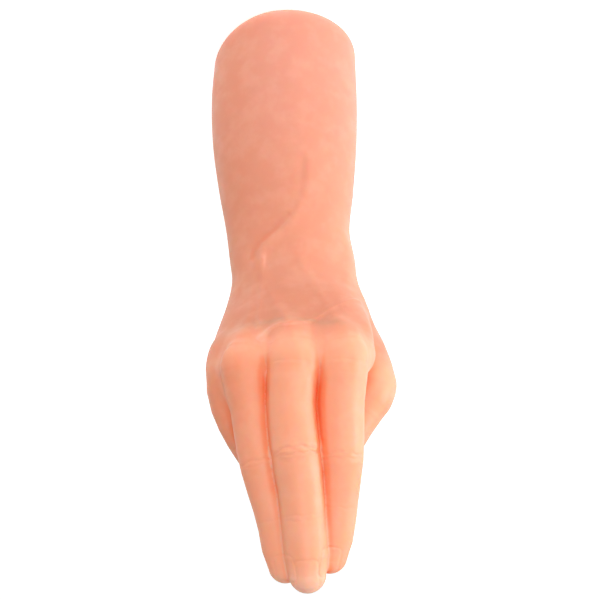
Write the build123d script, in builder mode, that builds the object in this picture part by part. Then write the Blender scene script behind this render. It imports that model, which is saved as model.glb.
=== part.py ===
"""Passive cosmetic hand-and-forearm prosthesis for the right side, in millimetres.

A soft skin covers foam fillers. Inside, an aluminium tube joins the mounting plate to a
friction wrist, and the wrist carries a frame with a sprung finger bar and a friction thumb.

Frame: the origin is the centre of the mounting face. +Z runs up the forearm to the fingertips,
-Y is the back of the hand and -X is the thumb side.
"""

import os
from itertools import pairwise
from math import cos, radians, sin

from build123d import *

os.makedirs("parts", exist_ok=True)

# ---------------------------------------------------------------- driving dimensions
ARM_SKIN = 3.0  # wall of the skin over the forearm and palm
DIGIT_SKIN = 2.2  # wall of the skin over the fingers and thumb
BOND = 0.3  # room for adhesive between skin and filler
FIT = 0.05  # radial clearance of pins, shafts and spigots
TURN_GAP = 0.4  # gap between skins that turn past each other

WRIST_Z = 165.0  # top of the forearm skin
END_ROUNDING = 9.0  # rounded edge around the mounting face
# Forearm cross-sections: height, centre x, centre y, half width, half depth
FOREARM_STATIONS = (
    (19.0, 3.0, -2.0, 40.5, 31.0),
    (49.0, 3.5, -2.0, 41.5, 31.5),
    (79.0, 3.0, -1.5, 40.5, 30.5),
    (109.0, 2.0, -0.5, 36.8, 28.0),
    (134.0, 1.0, 1.0, 33.5, 25.0),
    (150.0, -1.0, 2.0, 33.5, 23.5),
    (WRIST_Z, -2.0, 2.0, 33.0, 22.5),
)
# Palm cross-sections: centre x, y, z, lean towards the back of the hand, roll towards the
# little finger, half width, half depth
PALM_STATIONS = (
    (-2.0, 2.0, WRIST_Z + 0.6, 0.0, 0.0, 33.0, 22.5),
    (0.0, -4.0, 183.0, 15.0, 2.0, 35.0, 22.0),
    (3.0, -17.0, 201.5, 28.0, 6.0, 37.5, 18.5),
    (3.5, -29.5, 221.0, 35.0, 11.0, 37.5, 16.5),
)
PALM_BOTTOM = WRIST_Z + 0.6

# Digits: knuckle, middle joint, end joint and centre of the fingertip, then the radius at each
INDEX = ((-23, -33, 219), (-25, -14, 268.5), (-23.4, 0, 293), (-22, 9, 309))
MIDDLE = ((1, -33, 219), (-3, -19, 268), (-7, -5, 298), (-8, 3, 318))
RING = ((21, -33, 219), (16.5, -13, 269), (8, 0, 294), (1.5, 10, 314))
LITTLE = ((32, -16, 222), (21, 3, 257), (13, 9, 275), (7, 14, 291))
THUMB = ((-40, 7, 224), (-27, 9, 253), (-12, 11, 276))
INDEX_RADII = (12.0, 10.7, 9.3, 8.3)
MIDDLE_RADII = (13.2, 11.0, 9.8, 8.7)
RING_RADII = (11.3, 10.0, 8.8, 7.9)
LITTLE_RADII = (9.8, 8.8, 7.8, 7.0)
THUMB_RADII = (12.8, 11.0, 9.5)
THUMB_ROOT = (-22, 10, 172)
THUMB_ROOT_RADIUS = 14.0
HEEL = ((18, 10, 172), (31, -10, 213))  # the pad on the little finger's side of the palm
HEEL_RADII = (14.0, 11.0)

# Finger hinge, along X through three knuckles. The knuckle balls turn inside the palm's edge.
HINGE_Y, HINGE_Z = -33.0, 219.0
FINGER_SPLIT_Z = 218.0
KNUCKLE_SWEEP = (95.0, 217.0)  # arc of the knuckle balls kept below the split, from +Y
WEB_RADIUS = 10.8  # the round web that joins the knuckle balls
# Thumb hinge, through the thumb's knuckle
THUMB_AXIS = Vector(-0.5, -0.8660254, 0)

# Mounting plate, tube and wrist
PLATE_RADIUS, PLATE_THICK = 18.0, 5.0
THREAD_RADIUS, THREAD_DEPTH = 5.25, 16.0  # M12 x 1.5, at its minor diameter
TUBE_RADIUS, TUBE_WALL = 12.0, 2.0
SPIGOT_TOP = 22.0
PLATE_SCREW_CIRCLE, PLATE_SCREWS = 14.5, 4
GRUB_RADIUS = 1.5
SPIGOT_GRUB_Z, HOUSING_GRUB_Z, GRUBS = 14.0, 148.0, 3
HOUSING_BOTTOM, FLANGE_BOTTOM, HOUSING_TOP = 138.0, 158.0, 164.0
HOUSING_FLANGE_RADIUS = 16.8
SHAFT_RADIUS, SHAFT_THREAD_RADIUS, BUSH_RADIUS = 5.0, 4.0, 7.0
SHAFT_FLANGE = (166.2, 170.2, 16.8)  # bottom, top, radius
FRICTION_Z, FRICTION_RADIUS = 161.0, 2.0

# Hand frame, finger bar and thumb bracket
PLATE_INNER_X, PLATE_OUTER_X = 11.5, 14.5  # the frame's side plates
FRAME_BASE_TOP = 174.0
FRAME_BASE = (29.0, 28.0)
EYE_RADIUS, AXLE_RADIUS = 6.5, 3.0
HUB_RADIUS, HUB_LEFT, HUB_RIGHT = 7.0, -11.0, 4.0
HUB_BUSH_RADIUS, HUB_BUSH_LENGTH = 4.5, 6.0
BAR_Y, BAR_Z, BAR_SIZE = -27.3, 234.5, 9.0
BAR_LEFT, BAR_RIGHT = -29.0, 24.0
LUG = ((20, -27, 234.5), (26, -8, 237))
LUG_RADIUS = 4.5
CORE_FOOT_Z, SPIGOT_RADIUS = 244.5, 2.0
CORE_FEET = {"index": (-23.8, -25.3), "middle": (-1, -26), "ring": (18.7, -25.3), "little": (25.3, -6.5)}
LITTLE_FOOT_Z = 246.0
FILLER_BOTTOM = 242.0
SPRING_PIN = (-17.0, 197.0)  # y, z
BRACKET_FOOT_Y, BRACKET_FOOT_Z, BRACKET_FOOT_RADIUS = 0.0, 180.0, 8.0
BRACKET_ARM_RADIUS = 3.1
BRACKET_SCREW_REACH, BRACKET_SCREW_Z = 4.6, 177.5
THUMB_EYE_RADIUS, THUMB_EYE_HALF, THUMB_PIN_RADIUS = 6.0, 2.5, 2.0
FORK_INNER, FORK_OUTER = 3.3, 6.3

LEAST = (Align.CENTER, Align.CENTER, Align.MIN)
MOST = (Align.CENTER, Align.CENTER, Align.MAX)


# ---------------------------------------------------------------- shared shapes
def capsule_chain(points, radii, inset=0.0):
    """Round segments joined by balls, such as a finger's flesh or its core."""
    with BuildPart() as chain:
        with Locations(points[0]):
            Sphere(radii[0] - inset)
        for (start, start_radius), (end, end_radius) in pairwise(zip(points, radii)):
            axis = Vector(*end) - Vector(*start)
            with Locations(Plane(origin=start, z_dir=axis)):
                Cone(start_radius - inset, end_radius - inset, axis.length, align=LEAST)
            with Locations(end):
                Sphere(end_radius - inset)
    return chain.part


def forearm_form(inset):
    """The forearm's outline, set in all round. Its rounded end is a quarter circle."""
    _, first_x, first_y, first_width, first_depth = FOREARM_STATIONS[0]
    rounding = END_ROUNDING - inset
    with BuildPart() as form:
        for turn in range(0, 91, 15):
            height = END_ROUNDING - rounding * cos(radians(turn))
            drop = END_ROUNDING - rounding * sin(radians(turn))
            with BuildSketch(Plane.XY.offset(height)):
                with Locations((first_x, first_y)):
                    Ellipse(first_width - drop, first_depth - drop)
        loft(ruled=True)
        start = (END_ROUNDING, *FOREARM_STATIONS[0][1:])
        for height, x, y, half_width, half_depth in (start, *FOREARM_STATIONS):
            with BuildSketch(Plane.XY.offset(height)):
                with Locations((x, y)):
                    Ellipse(half_width - inset, half_depth - inset)
        loft()
    return form.part


def thumb_split_plane(shift):
    """The plane that halves the bend at the thumb's knuckle, moved along its normal."""
    knuckle = Vector(*THUMB[0])
    along_palm = (knuckle - Vector(*THUMB_ROOT)).normalized()
    along_thumb = (Vector(*THUMB[1]) - knuckle).normalized()
    normal = (along_palm + along_thumb).normalized()
    return Plane(origin=knuckle + normal * shift, z_dir=normal)


def thumb_pad(inset):
    """The pad at the thumb's root, ending at the thumb's knuckle."""
    with BuildPart() as pad:
        add(capsule_chain((THUMB_ROOT, THUMB[0]), (THUMB_ROOT_RADIUS, THUMB_RADII[0]), inset))
        split(bisect_by=thumb_split_plane(-TURN_GAP / 2), keep=Keep.BOTTOM)
    return pad.part


def palm_form(inset):
    """The palm's outline with its two pads, set in all round."""
    with BuildPart() as form:
        for x, y, z, lean, roll, half_width, half_depth in PALM_STATIONS:
            normal = (0, -sin(radians(lean)), cos(radians(lean)))
            with BuildSketch(Plane(origin=(x, y, z), x_dir=(1, 0, 0), z_dir=normal)):
                Ellipse(half_width - inset, half_depth - inset, rotation=roll)
        loft()
        add(thumb_pad(inset))
        add(capsule_chain(HEEL, HEEL_RADII, inset))
        split(bisect_by=Plane.XY.offset(PALM_BOTTOM), keep=Keep.TOP)
    return form.part


def fingers_form(inset):
    """The four fingers, joined where they press together."""
    with BuildPart() as form:
        add(capsule_chain(MIDDLE, MIDDLE_RADII, inset))
        add(capsule_chain(INDEX, INDEX_RADII, inset))
        add(capsule_chain(RING, RING_RADII, inset))
        add(capsule_chain(LITTLE, LITTLE_RADII, inset))
        add(rod_x(WEB_RADIUS - inset, INDEX[0][0], RING[0][0], HINGE_Y, HINGE_Z))
    return form.part


def rod_x(radius, left, right, y, z):
    """A round bar along X."""
    with BuildPart() as rod:
        with Locations(Plane(origin=(left, y, z), z_dir=(1, 0, 0))):
            Cylinder(radius, right - left, align=LEAST)
    return rod.part


def radial_pins(radius, inner, outer, height, count):
    """Round pins on spokes around the Z axis."""
    with BuildPart() as pins:
        with BuildSketch(Plane.YZ.offset(inner)):
            with Locations((0, height)):
                Circle(radius)
        extrude(amount=outer - inner)
        if count > 1:
            add([pins.part.rotate(Axis.Z, 360 / count * i) for i in range(1, count)])
    return pins.part


def frame_outline(grow):
    """Face of a side plate: a hull from the base to the eye around the finger axle."""
    with BuildSketch(Plane.YZ) as outline:
        with Locations((0, (SHAFT_FLANGE[1] + FRAME_BASE_TOP) / 2)):
            Rectangle(FRAME_BASE[1] + 2 * grow, FRAME_BASE_TOP - SHAFT_FLANGE[1] - 2 * FIT + 2 * grow)
        with Locations((HINGE_Y, HINGE_Z)):
            Circle(EYE_RADIUS + grow)
        make_hull()
    return outline.sketch


def write(builder, name):
    """Label a finished piece and write it as its own file."""
    builder.part.label = name
    export_step(builder.part, f"parts/{name}.step")


# ---------------------------------------------------------------- forearm
with BuildPart() as forearm_skin:
    add(forearm_form(0))
    add(forearm_form(ARM_SKIN), mode=Mode.SUBTRACT)
    Cylinder(PLATE_RADIUS + BOND, ARM_SKIN + 1, align=LEAST, mode=Mode.SUBTRACT)
write(forearm_skin, "forearm_skin")

with BuildPart() as forearm_filler:
    add(forearm_form(ARM_SKIN + BOND))
    split(bisect_by=Plane.XY.offset(WRIST_Z - 0.5), keep=Keep.BOTTOM)
    Cylinder(TUBE_RADIUS + 0.5, WRIST_Z, align=LEAST, mode=Mode.SUBTRACT)
    Cylinder(PLATE_RADIUS + BOND, 12.4, align=LEAST, mode=Mode.SUBTRACT)
    with Locations((0, 0, FLANGE_BOTTOM - BOND)):
        Cylinder(HOUSING_FLANGE_RADIUS + BOND, WRIST_Z, align=LEAST, mode=Mode.SUBTRACT)
write(forearm_filler, "forearm_foam")

with BuildPart() as mounting_plate:
    Cylinder(PLATE_RADIUS, PLATE_THICK, align=LEAST)
    chamfer(mounting_plate.edges().group_by(Axis.Z)[0], 0.6)
    Cylinder(TUBE_RADIUS - TUBE_WALL - FIT, SPIGOT_TOP, align=LEAST)
    chamfer(mounting_plate.edges().group_by(Axis.Z)[-1], 1.0)
    Cylinder(THREAD_RADIUS, THREAD_DEPTH, align=LEAST, mode=Mode.SUBTRACT)
    with Locations(Plane.XY.rotated((180, 0, 0))):
        with PolarLocations(PLATE_SCREW_CIRCLE, PLATE_SCREWS):
            CounterSinkHole(radius=1.7, counter_sink_radius=3.1, depth=PLATE_THICK + 1)
    add(
        radial_pins(GRUB_RADIUS + FIT, THREAD_RADIUS + 1.5, TUBE_RADIUS, SPIGOT_GRUB_Z, GRUBS),
        mode=Mode.SUBTRACT,
    )
write(mounting_plate, "mounting_plate")

with BuildPart() as anchor_ring:
    with Locations((0, 0, PLATE_THICK + 0.2)):
        Cylinder(PLATE_RADIUS, 6.8, align=LEAST)
        Cylinder(TUBE_RADIUS + BOND, 6.8, align=LEAST, mode=Mode.SUBTRACT)
    with PolarLocations(PLATE_SCREW_CIRCLE, PLATE_SCREWS):
        Cylinder(1.5 + FIT, 20, align=LEAST, mode=Mode.SUBTRACT)
write(anchor_ring, "anchor_ring")

with BuildPart() as plate_screws:
    with PolarLocations(PLATE_SCREW_CIRCLE, PLATE_SCREWS):
        with Locations((0, 0, 0.2)):
            Cone(2.85, 1.5, 1.5, align=LEAST)
            Cylinder(1.5, 11.0, align=LEAST)
            with BuildSketch(Plane.XY):
                RegularPolygon(1.1, 6)
    extrude(amount=1.2, mode=Mode.SUBTRACT)
write(plate_screws, "mounting_screws")

with BuildPart() as forearm_tube:
    with Locations((0, 0, 5.8)):
        Cylinder(TUBE_RADIUS, FLANGE_BOTTOM - 6.0, align=LEAST)
        Cylinder(TUBE_RADIUS - TUBE_WALL, FLANGE_BOTTOM, align=LEAST, mode=Mode.SUBTRACT)
    for grub_z in (SPIGOT_GRUB_Z, HOUSING_GRUB_Z):
        add(radial_pins(GRUB_RADIUS + FIT, 8, 14, grub_z, GRUBS), mode=Mode.SUBTRACT)
write(forearm_tube, "forearm_tube")

with BuildPart() as tube_screws:
    add(radial_pins(GRUB_RADIUS, THREAD_RADIUS + 1.7, TUBE_RADIUS + 0.2, SPIGOT_GRUB_Z, GRUBS))
    add(radial_pins(GRUB_RADIUS, BUSH_RADIUS + 0.8, TUBE_RADIUS + 0.2, HOUSING_GRUB_Z, GRUBS))
write(tube_screws, "tube_grub_screws")

with BuildPart() as wrist_housing:
    with Locations((0, 0, HOUSING_BOTTOM)):
        Cylinder(TUBE_RADIUS - TUBE_WALL - FIT, HOUSING_TOP - HOUSING_BOTTOM, align=LEAST)
    with Locations((0, 0, FLANGE_BOTTOM)):
        Cylinder(HOUSING_FLANGE_RADIUS, HOUSING_TOP - FLANGE_BOTTOM, align=LEAST)
    chamfer(wrist_housing.edges().group_by(Axis.Z)[-1], 0.8)
    Cylinder(BUSH_RADIUS + FIT, 200, mode=Mode.SUBTRACT, align=LEAST)
    add(radial_pins(GRUB_RADIUS + FIT, BUSH_RADIUS + 0.6, 12, HOUSING_GRUB_Z, GRUBS), mode=Mode.SUBTRACT)
    add(radial_pins(FRICTION_RADIUS + FIT, 6, 22, FRICTION_Z, 1), mode=Mode.SUBTRACT)
write(wrist_housing, "wrist_housing")

with BuildPart() as wrist_bush:
    with Locations((0, 0, HOUSING_BOTTOM)):
        Cylinder(BUSH_RADIUS, HOUSING_TOP - HOUSING_BOTTOM, align=LEAST)
        Cylinder(SHAFT_RADIUS + FIT, HOUSING_TOP, align=LEAST, mode=Mode.SUBTRACT)
    add(radial_pins(FRICTION_RADIUS + FIT, 4, 9, FRICTION_Z, 1), mode=Mode.SUBTRACT)
write(wrist_bush, "wrist_bush")

with BuildPart() as friction_pad:
    add(radial_pins(FRICTION_RADIUS - FIT, SHAFT_RADIUS + 0.15, 9.0, FRICTION_Z, 1))
    Cylinder(SHAFT_RADIUS + FIT, 400, mode=Mode.SUBTRACT)
write(friction_pad, "friction_pad")

with BuildPart() as friction_screw:
    add(radial_pins(FRICTION_RADIUS, 9.1, HOUSING_FLANGE_RADIUS - 0.5, FRICTION_Z, 1))
    with BuildSketch(Plane.YZ.offset(HOUSING_FLANGE_RADIUS - 0.5)):
        with Locations((0, FRICTION_Z)):
            RegularPolygon(1.1, 6)
    extrude(amount=-2, mode=Mode.SUBTRACT)
write(friction_screw, "friction_screw")

with BuildPart() as thrust_washer:
    with Locations((0, 0, HOUSING_TOP + 0.05)):
        Cylinder(15.0, SHAFT_FLANGE[0] - HOUSING_TOP - 0.1, align=LEAST)
        Cylinder(SHAFT_RADIUS + 2 * FIT, 10, align=LEAST, mode=Mode.SUBTRACT)
write(thrust_washer, "thrust_washer")

# ---------------------------------------------------------------- wrist, on the hand's side
FRAME_SCREW_GRID = (15.0, 18.0)

with BuildPart() as wrist_shaft:
    with Locations((0, 0, SHAFT_FLANGE[0])):
        Cylinder(SHAFT_FLANGE[2], SHAFT_FLANGE[1] - SHAFT_FLANGE[0], align=LEAST)
        Cylinder(SHAFT_RADIUS, SHAFT_FLANGE[0] - HOUSING_BOTTOM, align=MOST)
        Cylinder(SHAFT_THREAD_RADIUS, SHAFT_FLANGE[0] - 126.0, align=MOST)
    chamfer(wrist_shaft.edges().group_by(Axis.Z)[0], 0.8)
    with Locations((0, 0, SHAFT_FLANGE[1])):
        with GridLocations(*FRAME_SCREW_GRID, 2, 2):
            Hole(2.0)
write(wrist_shaft, "wrist_shaft")

with BuildPart() as disc_springs:
    for washer_z in (134.7, 136.3):
        with Locations((0, 0, washer_z)):
            Cylinder(8.5, 1.4, align=LEAST)
            Cylinder(SHAFT_THREAD_RADIUS + 0.1, 1.4, align=LEAST, mode=Mode.SUBTRACT)
write(disc_springs, "wrist_disc_springs")

with BuildPart() as lock_nut:
    with BuildSketch(Plane.XY.offset(128.5)):
        RegularPolygon(7.5, 6)
        Circle(SHAFT_THREAD_RADIUS + FIT, mode=Mode.SUBTRACT)
    extrude(amount=6.0)
write(lock_nut, "wrist_lock_nut")

# ---------------------------------------------------------------- hand frame
with BuildPart() as hand_frame:
    for side_x in (PLATE_INNER_X, -PLATE_OUTER_X):
        extrude(frame_outline(0).moved(Location((side_x, 0, 0))), amount=PLATE_OUTER_X - PLATE_INNER_X)
    with Locations((0, 0, SHAFT_FLANGE[1] + FIT)):
        Box(FRAME_BASE[0] - 1, FRAME_BASE[1], FRAME_BASE_TOP - SHAFT_FLANGE[1] - 2 * FIT, align=LEAST)
    with Locations((0, 0, FRAME_BASE_TOP)):
        with GridLocations(*FRAME_SCREW_GRID, 2, 2):
            Cylinder(2.05, 20, mode=Mode.SUBTRACT)
    add(rod_x(AXLE_RADIUS + FIT, -20, 20, HINGE_Y, HINGE_Z), mode=Mode.SUBTRACT)
    add(rod_x(1.5 + FIT, -20, 20, *SPRING_PIN), mode=Mode.SUBTRACT)
    for reach in (-BRACKET_SCREW_REACH, BRACKET_SCREW_REACH):
        add(rod_x(1.55, -20, -10, BRACKET_FOOT_Y + reach, BRACKET_SCREW_Z), mode=Mode.SUBTRACT)
write(hand_frame, "hand_frame")

with BuildPart() as frame_screws:
    with Locations((0, 0, FRAME_BASE_TOP)):
        with GridLocations(*FRAME_SCREW_GRID, 2, 2):
            Cylinder(1.95, 7.0, align=MOST)
            Cylinder(3.4, 2.4, align=LEAST)
    fillet(frame_screws.edges().group_by(Axis.Z)[-1], 0.8)
    with BuildSketch(Plane.XY.offset(FRAME_BASE_TOP + 2.4)):
        with GridLocations(*FRAME_SCREW_GRID, 2, 2):
            RegularPolygon(1.4, 6)
    extrude(amount=-1.5, mode=Mode.SUBTRACT)
write(frame_screws, "frame_screws")

with BuildPart() as finger_axle:
    add(rod_x(AXLE_RADIUS, -18.5, 18.5, HINGE_Y, HINGE_Z))
    chamfer(finger_axle.edges().filter_by(GeomType.CIRCLE), 0.4)
    for clip_x in (-17.2, 16.2):
        add(rod_x(5, clip_x, clip_x + 1.0, HINGE_Y, HINGE_Z), mode=Mode.SUBTRACT)
        add(rod_x(2.4, clip_x - 0.5, clip_x + 1.5, HINGE_Y, HINGE_Z))
write(finger_axle, "finger_axle")

with BuildPart() as axle_clips:
    for clip_x in (-17.15, 16.25):
        add(rod_x(5.0, clip_x, clip_x + 0.9, HINGE_Y, HINGE_Z))
        add(rod_x(2.45, clip_x - 1, clip_x + 2, HINGE_Y, HINGE_Z), mode=Mode.SUBTRACT)
        with Locations((clip_x, HINGE_Y, HINGE_Z)):
            Box(3, 3.6, 6, align=(Align.CENTER, Align.CENTER, Align.MIN), mode=Mode.SUBTRACT)
write(axle_clips, "axle_clips")

with BuildPart() as spring_pin:
    add(rod_x(1.5, -PLATE_OUTER_X, PLATE_OUTER_X, *SPRING_PIN))
write(spring_pin, "spring_pin")

# A torsion spring around the axle: one leg bears on the pin, the other on the finger bar.
SPRING_MEAN, SPRING_WIRE, SPRING_PITCH, SPRING_TURNS = 5.2, 0.5, 1.25, 3.165
SPRING_X, SPRING_TURN = 5.6, 73.24  # where the coil starts, and its turn about the axle
BAR_LEG, PIN_LEG = 20.5, 28.0

with BuildPart() as spring_wire:
    with BuildLine() as spring_path:
        coil = Helix(
            SPRING_PITCH,
            SPRING_PITCH * SPRING_TURNS,
            SPRING_MEAN,
            center=(SPRING_X, 0, 0),
            direction=(1, 0, 0),
        )
        Line((coil @ 0) - (coil % 0) * BAR_LEG, coil @ 0)
        Line(coil @ 1, (coil @ 1) + (coil % 1) * PIN_LEG)
    with BuildSketch(Plane(origin=(coil @ 0) - (coil % 0) * BAR_LEG, z_dir=coil % 0)):
        Circle(SPRING_WIRE)
    sweep(path=spring_path.wires()[0], is_frenet=True)

with BuildPart() as return_spring:
    add(spring_wire.part.rotate(Axis.X, SPRING_TURN).moved(Location((0, HINGE_Y, HINGE_Z))))
write(return_spring, "return_spring")

# ---------------------------------------------------------------- thumb bracket and hinge
thumb_hinge = Plane(
    origin=THUMB[0],
    x_dir=(Vector(*THUMB[1]) - Vector(*THUMB[0])).normalized(),
    z_dir=THUMB_AXIS,
)
# The thumb's direction is made square to its axis.
thumb_along = thumb_hinge.x_dir
arm_start = Vector(-PLATE_OUTER_X - 3.5, BRACKET_FOOT_Y, BRACKET_FOOT_Z)
arm_way = (arm_start - Vector(*THUMB[0])).normalized()
arm_end = Vector(*THUMB[0]) + arm_way * 12

with BuildPart() as thumb_bracket:
    add(
        rod_x(
            BRACKET_FOOT_RADIUS,
            -PLATE_OUTER_X - 3.5,
            -PLATE_OUTER_X - FIT,
            BRACKET_FOOT_Y,
            BRACKET_FOOT_Z,
        )
    )
    add(
        capsule_chain(
            (tuple(arm_start + Vector(0, 0, 2)), tuple(arm_end)),
            (BRACKET_ARM_RADIUS, BRACKET_ARM_RADIUS - 0.3),
        )
    )
    with Locations((-PLATE_OUTER_X - FIT, 0, BRACKET_FOOT_Z)):
        Box(20, 40, 40, align=(Align.MIN, Align.CENTER, Align.CENTER), mode=Mode.SUBTRACT)
    for reach in (-BRACKET_SCREW_REACH, BRACKET_SCREW_REACH):
        add(rod_x(1.6, -30, -10, BRACKET_FOOT_Y + reach, BRACKET_SCREW_Z), mode=Mode.SUBTRACT)
    with Locations(thumb_hinge):
        Cylinder(THUMB_EYE_RADIUS, 2 * THUMB_EYE_HALF)
    neck = Plane(origin=THUMB[0], x_dir=arm_way, z_dir=THUMB_AXIS)
    with Locations(neck):
        Box(12.5, 7, 2 * THUMB_EYE_HALF, align=(Align.MIN, Align.CENTER, Align.CENTER))
    with Locations(thumb_hinge):
        Cylinder(THUMB_PIN_RADIUS + FIT, 20, mode=Mode.SUBTRACT)
write(thumb_bracket, "thumb_bracket")

with BuildPart() as thumb_pin:
    with Locations(thumb_hinge):
        Cylinder(THUMB_PIN_RADIUS, 14.6)
    chamfer(thumb_pin.edges().filter_by(GeomType.CIRCLE), 0.3)
write(thumb_pin, "thumb_pin")

with BuildPart() as thumb_clips:
    for side in (-1, 1):
        with Locations(thumb_hinge.offset(side * 6.85)):
            Cylinder(4.0, 0.8)
            Cylinder(THUMB_PIN_RADIUS + 0.03, 2, mode=Mode.SUBTRACT)
write(thumb_clips, "thumb_pin_clips")

with BuildPart() as thumb_washers:
    for side in (-1, 1):
        with Locations(thumb_hinge.offset(side * (THUMB_EYE_HALF + FORK_INNER) / 2)):
            Cylinder(5.0, FORK_INNER - THUMB_EYE_HALF - 0.1)
            Cylinder(THUMB_PIN_RADIUS + 0.1, 2, mode=Mode.SUBTRACT)
write(thumb_washers, "thumb_friction_washers")

with BuildPart() as bracket_screws:
    for reach in (-BRACKET_SCREW_REACH, BRACKET_SCREW_REACH):
        screw_y = BRACKET_FOOT_Y + reach
        add(rod_x(1.5, -PLATE_OUTER_X - 4.0, -PLATE_INNER_X - 0.3, screw_y, BRACKET_SCREW_Z))
        add(rod_x(2.6, -PLATE_OUTER_X - 5.6, -PLATE_OUTER_X - 3.6, screw_y, BRACKET_SCREW_Z))
write(bracket_screws, "bracket_screws")

# ---------------------------------------------------------------- palm
def knuckle_balls(grow):
    """The balls at the roots of the three fingers that turn about the hinge."""
    with BuildPart() as balls:
        for chain, radii in ((INDEX, INDEX_RADII), (MIDDLE, MIDDLE_RADII), (RING, RING_RADII)):
            with Locations(chain[0]):
                Sphere(radii[0] + grow)
        add(rod_x(WEB_RADIUS + grow, INDEX[0][0], RING[0][0], HINGE_Y, HINGE_Z))
    return balls.part


bracket_room = capsule_chain(
    (tuple(arm_start), tuple(Vector(*THUMB[0]))), (BRACKET_ARM_RADIUS + 2.2, BRACKET_ARM_RADIUS + 1.2)
)

with BuildPart() as palm_skin:
    add(palm_form(0))
    add(palm_form(ARM_SKIN), mode=Mode.SUBTRACT)
    split(bisect_by=Plane.XY.offset(FINGER_SPLIT_Z - TURN_GAP / 2), keep=Keep.BOTTOM)
    add(knuckle_balls(TURN_GAP), mode=Mode.SUBTRACT)
    add(bracket_room, mode=Mode.SUBTRACT)
    with Locations(THUMB[0]):
        Sphere(THUMB_RADII[0] + TURN_GAP, mode=Mode.SUBTRACT)
write(palm_skin, "palm_skin")

with BuildPart() as palm_filler:
    add(palm_form(ARM_SKIN + BOND))
    split(bisect_by=Plane.XY.offset(FINGER_SPLIT_Z - 2), keep=Keep.BOTTOM)
    split(bisect_by=Plane.XY.offset(PALM_BOTTOM + 0.4), keep=Keep.TOP)
    add(knuckle_balls(1.2), mode=Mode.SUBTRACT)
    with Locations(THUMB[0]):
        Sphere(THUMB_RADII[0] + 1.0, mode=Mode.SUBTRACT)
    with Locations((0, 0, PALM_BOTTOM)):
        Cylinder(SHAFT_FLANGE[2] + 0.5, SHAFT_FLANGE[1] - PALM_BOTTOM + 0.4, align=LEAST, mode=Mode.SUBTRACT)
    extrude(
        frame_outline(1.0).moved(Location((-PLATE_OUTER_X - 0.7, 0, 0))),
        amount=2 * (PLATE_OUTER_X + 0.7),
        mode=Mode.SUBTRACT,
    )
    add(rod_x(BRACKET_FOOT_RADIUS + 0.6, -21, -10, BRACKET_FOOT_Y, BRACKET_FOOT_Z), mode=Mode.SUBTRACT)
    add(bracket_room, mode=Mode.SUBTRACT)
write(palm_filler, "palm_foam")

# ---------------------------------------------------------------- fingers
with BuildPart() as finger_bar:
    add(rod_x(HUB_RADIUS, HUB_LEFT, HUB_RIGHT, HINGE_Y, HINGE_Z))
    with BuildSketch(Plane.YZ.offset(HUB_LEFT)):
        with BuildLine():
            Polyline(
                (HINGE_Y - 5.5, HINGE_Z + 2),
                (HINGE_Y + 6.5, HINGE_Z - 1),
                (BAR_Y + 3.5, BAR_Z),
                (BAR_Y - 4.0, BAR_Z),
                close=True,
            )
        make_face()
    extrude(amount=HUB_RIGHT - HUB_LEFT)
    with Locations(((BAR_LEFT + BAR_RIGHT) / 2, BAR_Y, BAR_Z)):
        Box(BAR_RIGHT - BAR_LEFT, BAR_SIZE, BAR_SIZE)
    add(capsule_chain(LUG, (LUG_RADIUS, LUG_RADIUS - 0.01)))
    add(rod_x(HUB_BUSH_RADIUS + FIT, -20, 20, HINGE_Y, HINGE_Z), mode=Mode.SUBTRACT)
    for foot in CORE_FEET.values():
        with Locations((*foot, BAR_Z - 2)):
            Cylinder(SPIGOT_RADIUS + FIT, 20, align=LEAST, mode=Mode.SUBTRACT)
    for finger in ("index", "middle", "ring"):
        with Locations(Plane(origin=(CORE_FEET[finger][0], BAR_Y, BAR_Z), z_dir=(0, -1, 0))):
            Cylinder(GRUB_RADIUS + FIT, 10, align=LEAST, mode=Mode.SUBTRACT)
write(finger_bar, "finger_bar")

with BuildPart() as bar_screws:
    for finger in ("index", "middle", "ring"):
        foot_x, foot_y = CORE_FEET[finger]
        screw_start = foot_y - SPIGOT_RADIUS - 0.1
        with Locations(Plane(origin=(foot_x, screw_start, BAR_Z), z_dir=(0, -1, 0))):
            Cylinder(GRUB_RADIUS, 4.0, align=LEAST)
write(bar_screws, "finger_core_screws")

with BuildPart() as hub_bushes:
    for bush_x in (HUB_LEFT, HUB_RIGHT - HUB_BUSH_LENGTH):
        add(rod_x(HUB_BUSH_RADIUS, bush_x, bush_x + HUB_BUSH_LENGTH, HINGE_Y, HINGE_Z))
    add(rod_x(AXLE_RADIUS + FIT, -20, 20, HINGE_Y, HINGE_Z), mode=Mode.SUBTRACT)
write(hub_bushes, "hub_bushes")

CORE_RADII = {
    "index": (4.4, 4.0, 3.4, 2.8),
    "middle": (4.4, 4.1, 3.5, 2.9),
    "ring": (4.0, 3.7, 3.2, 2.7),
    "little": (3.2, 3.0, 2.7, 2.4),
}
FINGERS = {"index": INDEX, "middle": MIDDLE, "ring": RING, "little": LITTLE}


def finger_core(name, grow=0.0):
    """A stiff core along a finger, standing on the bar with a round spigot in it."""
    foot_z = LITTLE_FOOT_Z if name == "little" else CORE_FOOT_Z
    foot = (*CORE_FEET[name], foot_z)
    with BuildPart() as core:
        add(capsule_chain((foot, *FINGERS[name][1:]), CORE_RADII[name], -grow))
        with Locations(foot):
            Cylinder(SPIGOT_RADIUS + grow, foot_z - BAR_Z + 1.5, align=MOST)
    return core.part


for finger in FINGERS:
    with BuildPart() as core_part:
        add(finger_core(finger))
    write(core_part, f"{finger}_core")

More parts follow.
